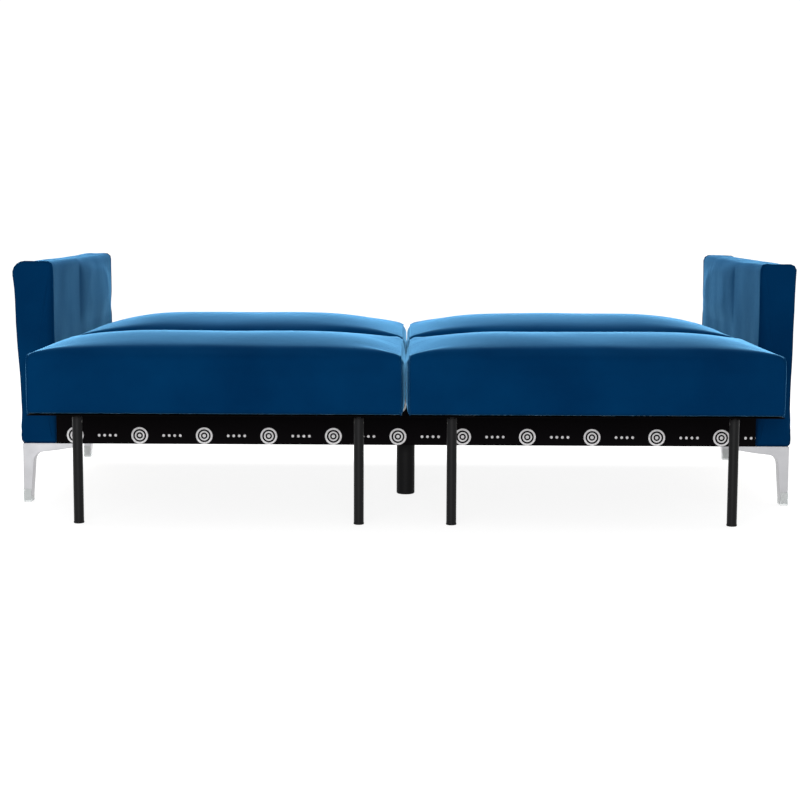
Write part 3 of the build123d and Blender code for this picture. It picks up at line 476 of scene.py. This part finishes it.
def inflate(piece, kind, pinned, room):
    """Cloth simulation under pressure. pinned(points) gives each point's hold from 0 to 1, and room is
    the low and high corner that the result stays inside."""
    start = positions(piece)
    group = piece.vertex_groups.new(name="hold")
    for index, weight in enumerate(pinned(start)):
        if weight > 0:
            group.add([index], float(weight), "REPLACE")
    cloth = piece.modifiers.new("cloth", "CLOTH")
    settings = cloth.settings
    settings.quality = 5
    settings.mass = 0.3
    settings.use_pressure = True
    settings.uniform_pressure_force = PRESSURE[kind]
    settings.effector_weights.gravity = 0
    settings.tension_stiffness = settings.compression_stiffness = 18
    settings.shear_stiffness = 6
    settings.bending_stiffness = 1.2
    settings.vertex_group_mass = "hold"
    cloth.point_cache.frame_start, cloth.point_cache.frame_end = 1, SIM_FRAMES
    scene = bpy.context.scene
    for step in range(1, SIM_FRAMES + 1):
        scene.frame_set(step)
    result = piece.evaluated_get(bpy.context.evaluated_depsgraph_get())
    swollen = np.empty(len(start) * 3)
    result.data.vertices.foreach_get("co", swollen)
    moved = swollen.reshape(-1, 3) - start
    reach = np.linalg.norm(moved, axis=1)[:, None]
    most = MOST_MOVE[kind]
    moved *= most * np.tanh(reach / most) / np.maximum(reach, 1e-9)
    piece.modifiers.remove(cloth)
    piece.vertex_groups.remove(group)
    move_to(piece, np.clip(start + moved, *room))
    scene.frame_set(1)


def ripple(piece, kind, seed, keep):
    """Uneven filling: soft noise along the normals. keep(points) scales it, 0 where nothing moves."""
    size, height = RIPPLE[kind]
    points = positions(piece)
    normals = np.empty(len(points) * 3)
    piece.data.vertices.foreach_get("normal", normals)
    shift = Vector((seed * 3.7, seed * 1.9, seed * 5.3))
    amount = np.array([noise.noise(Vector(p) / size + shift) for p in points]) * height * keep(points)
    move_to(piece, points + normals.reshape(-1, 3) * amount[:, None])


def subdivide(piece):
    """One level of smooth subdivision, applied."""
    piece.modifiers.new("smooth", "SUBSURF").levels = 1
    mesh = bpy.data.meshes.new_from_object(piece.evaluated_get(bpy.context.evaluated_depsgraph_get()))
    piece.modifiers.clear()
    piece.data = mesh


def welt(name, path, radius, material, closed=True):
    """Thin sewn edge that follows points on a padded piece."""
    data = bpy.data.curves.new(name, "CURVE")
    data.dimensions = "3D"
    data.bevel_depth = radius
    data.bevel_resolution = 2
    line = data.splines.new("POLY")
    line.points.add(len(path) - 1)
    for point, place in zip(line.points, path):
        point.co = (*place, 1)
    line.use_cyclic_u = closed
    curve = bpy.data.objects.new(name, data)
    bpy.context.scene.collection.objects.link(curve)
    mesh = bpy.data.meshes.new_from_object(curve.evaluated_get(bpy.context.evaluated_depsgraph_get()))
    bpy.data.objects.remove(curve)
    mesh.materials.clear()
    mesh.materials.append(material)
    piece = bpy.data.objects.new(name, mesh)
    bpy.context.scene.collection.objects.link(piece)
    return piece


# ---------------------------------------------------------------- cushions
def crown_share(depth):
    """How full the crown is at a distance from the cushion's end."""
    return 1 - (1 - min(1.0, max(0.0, depth) / CROWN_RUN)) ** 2.2


def end_drop(depth):
    """How far a cushion's top comes down at a distance from the cushion's end."""
    near = max(0.0, TOP_ROUND - depth)
    return TOP_ROUND - math.sqrt(TOP_ROUND**2 - near**2)


def seat_outline(low, high):
    """YZ outline of a seat cushion: flat underneath, softly rounded edges and a crowned top."""
    def outline(depth):
        edge = CUSHION_EDGE - end_drop(depth)
        front, rear = low.y + 0.003, high.y - 0.003
        points = [(rear - 0.004, low.z), (rear, low.z + 0.004)]
        points += arc((rear - SEAT_ROUND, edge - SEAT_ROUND), SEAT_ROUND, 0, 80)
        across = np.linspace(0, 1, 40)[1:-1]
        first, last = rear - SEAT_ROUND, front + SEAT_ROUND
        swell = SEAT_CROWN * crown_share(depth)
        points += [(first + (last - first) * t, edge + swell * (4 * t * (1 - t)) ** 0.8) for t in across]
        points += arc((front + SEAT_ROUND, edge - SEAT_ROUND), SEAT_ROUND, 100, 180)
        points += [(front, low.z + 0.0015), (front + 0.0015, low.z)]
        return points

    return outline


def back_outline(low, high):
    """YZ outline of a lowered back: barrel round the pivot, crowned top, flat face at the free edge."""
    def outline(depth):
        edge = CUSHION_EDGE - end_drop(depth)
        barrel = PIVOT[1] - low.z - 0.0005 - end_drop(depth)
        face = high.y
        points = [(face - 0.005, low.z + 0.001), (face - 0.001, low.z + 0.005)]
        points += arc((face - BACK_ROUND, edge - BACK_ROUND), BACK_ROUND, 0, 90)
        across = np.linspace(0, 1, 40)[1:-1]
        first, last = face - BACK_ROUND, PIVOT[0]
        swell = BACK_CROWN * crown_share(depth)
        top = PIVOT[1] + barrel - edge
        points += [(first + (last - first) * t, edge + top * t + swell * 4 * t * (1 - t)) for t in across]
        points += arc(PIVOT, barrel, 90, 270, 24)
        return points

    return outline


def cushion_box(node, play):
    low, high = box_corners(node)
    return low + Vector((play, 0, 0)), high - Vector((play, 0, 0))


def fill_middle_gap(piece, side, low, high):
    """Let a cushion's inner end stand out towards its neighbour, but not beside the hinge plates."""
    points = positions(piece)
    x, y, z = points.T
    inner = x < low.x + 0.0005 if side == "left" else x > high.x - 0.0005
    clear_of_hinge = smooth_step((np.abs(y - PIVOT[0]) - HINGE_REACH) / 0.05)
    from_seam = np.minimum(np.minimum(z - low.z, CUSHION_EDGE - z), np.minimum(y - low.y, high.y - y))
    points[:, 0] -= SIDES[side] * INNER_DOME * inner * clear_of_hinge * smooth_step(from_seam / 0.025)
    move_to(piece, points)


def cushion(kind, side, outline, held, material, seed):
    """One padded piece in place of its CAD solid, with welts round the ends of its top."""
    low, high = cushion_box(f"{kind}_cushion_{side}", 0.001)
    piece, seams = swept_pad(
        f"{kind}_pad_{side}", outline(low, high), low.x, high.x, "X", material, END_ROUND)
    fill_middle_gap(piece, side, low, high)
    inner, outer = Vector((INNER_SWELL, 0, 0)), Vector((OUTER_SWELL, 0, 0))
    room_low, room_high = (low - inner, high + outer) if side == "left" else (low - outer, high + inner)
    if kind == "seat":
        room_low.y -= FACE_SWELL
    else:
        room_high.y += FACE_SWELL
    room_high.z += TOP_SWELL
    inflate(piece, kind, held(low, high), (room_low, room_high))
    ripple(piece, "cushion", seed, lambda p: smooth_step((p[:, 2] - 0.30) / 0.05))
    points = positions(piece)
    body = "base" if kind == "seat" else f"back_{side}"
    for end, ring in zip(("a", "b"), seams):
        path = [tuple(points[i]) for i in ring]
        edge = welt(f"{kind}_welt_{side}_{end}", path, PIPING, material)
        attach(edge, body)
    subdivide(piece)
    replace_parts(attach(piece, body), f"{kind}_cushion_{side}")


def seam_hold(p, low, high):
    """Hold of the sewn edges round a cushion's two ends, and of the ends beside the hinges."""
    depth = np.minimum(p[:, 0] - low.x, high.x - p[:, 0])
    beside_hinge = (depth < END_ROUND) & (np.abs(p[:, 1] - PIVOT[0]) < HINGE_REACH)
    return np.maximum(SEAM_HOLD * (np.abs(depth - END_ROUND) < 0.003), beside_hinge)


def seat_hold(low, high):
    """Held underneath and along the seams."""
    def hold(p):
        under = 1 - smooth_step((p[:, 2] - low.z - 0.01) / 0.05)
        return np.maximum(under, seam_hold(p, low, high))
    return hold


def back_hold(low, high):
    """Held underneath, round the barrel and along the seams."""
    def hold(p):
        under = 1 - smooth_step((p[:, 2] - low.z - 0.01) / 0.04)
        barrel = 1 - smooth_step((p[:, 1] - PIVOT[0]) / 0.06)
        return np.maximum(np.maximum(under, barrel), seam_hold(p, low, high))
    return hold


# ---------------------------------------------------------------- arms
def arm_outline(name, low, high):
    """XZ outline of an arm that leans outward a little, with a rounded top."""
    side = SIDES[name]
    inner, outer = (low.x, high.x) if side > 0 else (high.x, low.x)
    top, bottom = high.z, low.z
    rounding = ARM_OUTER_ROUND[name]

    def outer_x(height):
        return outer + side * (-ARM_TUCK + (ARM_TUCK + ARM_LEAN[name]) * (height - bottom) / (top - bottom))

    def outline(depth):
        inner_centre = (inner + side * ARM_INNER_ROUND, top - ARM_INNER_ROUND)
        outer_centre = (outer_x(top) - side * rounding, top - rounding)
        points = [(inner, bottom + 0.003), (inner + side * 0.003, bottom)]
        points += [(outer_x(bottom) - side * 0.004, bottom), (outer_x(bottom), bottom + 0.004)]
        points += [(outer_x(z), z) for z in np.linspace(bottom, top - rounding, 14)[1:-1]]
        points += [(outer_centre[0] + side * rounding * math.cos(a),
                    outer_centre[1] + rounding * math.sin(a)) for a in np.radians(np.linspace(0, 85, 9))]
        crown = top + 0.004 * smooth_step(depth / 0.15)
        points.append(((inner_centre[0] + outer_centre[0]) / 2, crown))
        turn = np.radians(np.linspace(85, 0, 8))
        points += [(inner_centre[0] - side * ARM_INNER_ROUND * math.cos(a),
                    inner_centre[1] + ARM_INNER_ROUND * math.sin(a)) for a in turn]
        points += [(inner, z) for z in np.linspace(top - ARM_INNER_ROUND, bottom + 0.003, 14)[1:-1]]
        return points if side > 0 else points[::-1]

    return outline


def lean_inner_face(piece, side, low, high):
    """Twist an arm's inner face a little: away from the seat at the rear, towards it at the front."""
    points = positions(piece)
    x, y, z = points.T
    width = high.x - low.x
    inner = 1 - (x - low.x) / width if side > 0 else (x - low.x) / width
    rear = smooth_step((y - ARM_BEND) / 0.25)
    front = smooth_step((ARM_BEND - y) / 0.25) * smooth_step((z - CUSHION_EDGE - SEAT_CROWN) / 0.06)
    share = np.clip(inner, 0, 1) * (z - low.z) / (high.z - low.z)
    points[:, 0] += side * share * (ARM_REAR_LEAN * rear - ARM_FRONT_LEAN * front)
    move_to(piece, points)


def arm(name, side, material, seed):
    low, high = box_corners(f"arm_cover_{name}")
    piece, seams = swept_pad(
        f"arm_pad_{name}", arm_outline(name, low, high), low.y, high.y, "Y", material, ARM_END_ROUND)
    lean_inner_face(piece, side, low, high)
    inner_x = low.x if side > 0 else high.x

    def hold(p):
        inner = np.abs(p[:, 0] - inner_x) < ARM_HOLD
        free = (p[:, 1] < ARM_BEND) & (p[:, 2] > CUSHION_EDGE + SEAT_CROWN)
        return np.maximum(1 - smooth_step((p[:, 2] - low.z) / 0.04), inner & ~free)

    outward, endward, upward = ARM_ROOM
    room_low = low - Vector((outward, endward, 0))
    room_high = high + Vector((outward, endward, upward))
    if side > 0:
        room_low.x = low.x - ARM_FRONT_LEAN
    else:
        room_high.x = high.x + ARM_FRONT_LEAN
    inflate(piece, "arm", hold, (room_low, room_high))
    ripple(piece, "arm", seed, lambda p: smooth_step((p[:, 2] - low.z - 0.02) / 0.05))
    points = positions(piece)
    for end, ring in zip(("a", "b"), seams):
        edge = welt(f"arm_welt_{name}_{end}", [tuple(points[i]) for i in ring], PIPING, material)
        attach(edge, "base")
    subdivide(piece)
    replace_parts(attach(piece, "base"), f"arm_cover_{name}")


# ---------------------------------------------------------------- apron and dust covers
def apron(material):
    """Thin padded strip over the front rail, with a welt that closes the seam under the cushions."""
    low, high = box_corners("front_apron")
    radius = (high.y - low.y) / 2

    def outline(depth):
        y = (low.y + high.y) / 2
        swell = APRON_SWELL * smooth_step(depth / 0.08)
        heights = np.linspace(high.z - radius, low.z + radius, 10)
        front = [(low.y - swell * math.sin(math.pi * (z - low.z) / (high.z - low.z)), z) for z in heights]
        return [(high.y, low.z), (high.y, high.z)] + arc((y, high.z - radius), radius, 90, 170, 4) + front

    piece, _ = swept_pad("apron_pad", outline, low.x, high.x, "X", material, 0.001)
    ripple(piece, "apron", 21, lambda p: (p[:, 1] < high.y - radius) * 1.0)
    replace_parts(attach(piece, "base"), "front_apron")
    seam = [(x, high.y - APRON_SEAM, high.z + APRON_SEAM) for x in np.linspace(low.x, high.x, 60)]
    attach(welt("apron_welt", seam, APRON_PIPING, material, closed=False), "base")


def dust_cover(node, body, axis, sign, material, slack, seed):
    """Stretched sheet in place of a CAD cover, facing along an axis, a little slack between its fixings."""
    low, high = box_corners(node)
    flat = [k for k in range(3) if k != axis]
    face = (high if sign > 0 else low)[axis]
    size = [high[k] - low[k] for k in flat]
    cells = [int(round(length / COVER_GRID)) for length in size]
    vertices = []
    for i in range(cells[0] + 1):
        for j in range(cells[1] + 1):
            place = Vector()
            place[flat[0]] = low[flat[0]] + size[0] * i / cells[0]
            place[flat[1]] = low[flat[1]] + size[1] * j / cells[1]
            loose = smooth_step(min(i, cells[0] - i, j, cells[1] - j) * COVER_GRID / 0.05)
            wave = 0.5 + noise.noise(place * 7.0 + Vector((seed, 0, 0))) + 0.35 * noise.noise(place * 25.0)
            place[axis] = face + sign * (0.0003 + slack * wave * loose)
            vertices.append(place)
    row = cells[1] + 1
    corners = [i * row + j for i in range(cells[0]) for j in range(cells[1])]
    faces = [(a, a + row, a + row + 1, a + 1) for a in corners]
    if (sign > 0) == (axis == 1):
        faces = [f[::-1] for f in faces]
    piece = add_object(node.replace("dust_cover", "lining"), vertices, faces, material)
    solid = piece.modifiers.new("thickness", "SOLIDIFY")
    solid.thickness = COVER_THICKNESS
    solid.offset = -1
    piece.data = bpy.data.meshes.new_from_object(piece.evaluated_get(bpy.context.evaluated_depsgraph_get()))
    piece.modifiers.clear()
    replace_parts(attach(piece, body), node)


# ---------------------------------------------------------------- build
camera()
studio()
floor()
cloth = velvet("velvet", 1.0)
shaded_arm_cloth = velvet("arm_velvet_shaded", 0.62)      # shaded copy of the velvet: weaker sheen, painted shade that darkens the arms' tops and inner faces
paint_cad_nodes(slot_materials(cloth))
apron(cloth)
under_cover = non_woven("under_cover", "Y", 0.03, 0.15)
rear_cover = non_woven("rear_cover", "Z", 0.160, 0.075)
dust_cover("rear_dust_cover", "base", 1, 1, rear_cover, 0.0015, 1)
dust_cover("base_dust_cover", "base", 2, -1, under_cover, 0.002, 2)
for number, (side_name, side_sign) in enumerate(SIDES.items()):
    cushion("seat", side_name, seat_outline, seat_hold, cloth, 3 + number)
    cushion("back", side_name, back_outline, back_hold, cloth, 7 + number)
    arm(side_name, side_sign, shaded_arm_cloth, 11 + number)
    dust_cover(f"back_dust_cover_{side_name}", f"back_{side_name}", 2, -1, under_cover, 0.002, 15 + number)
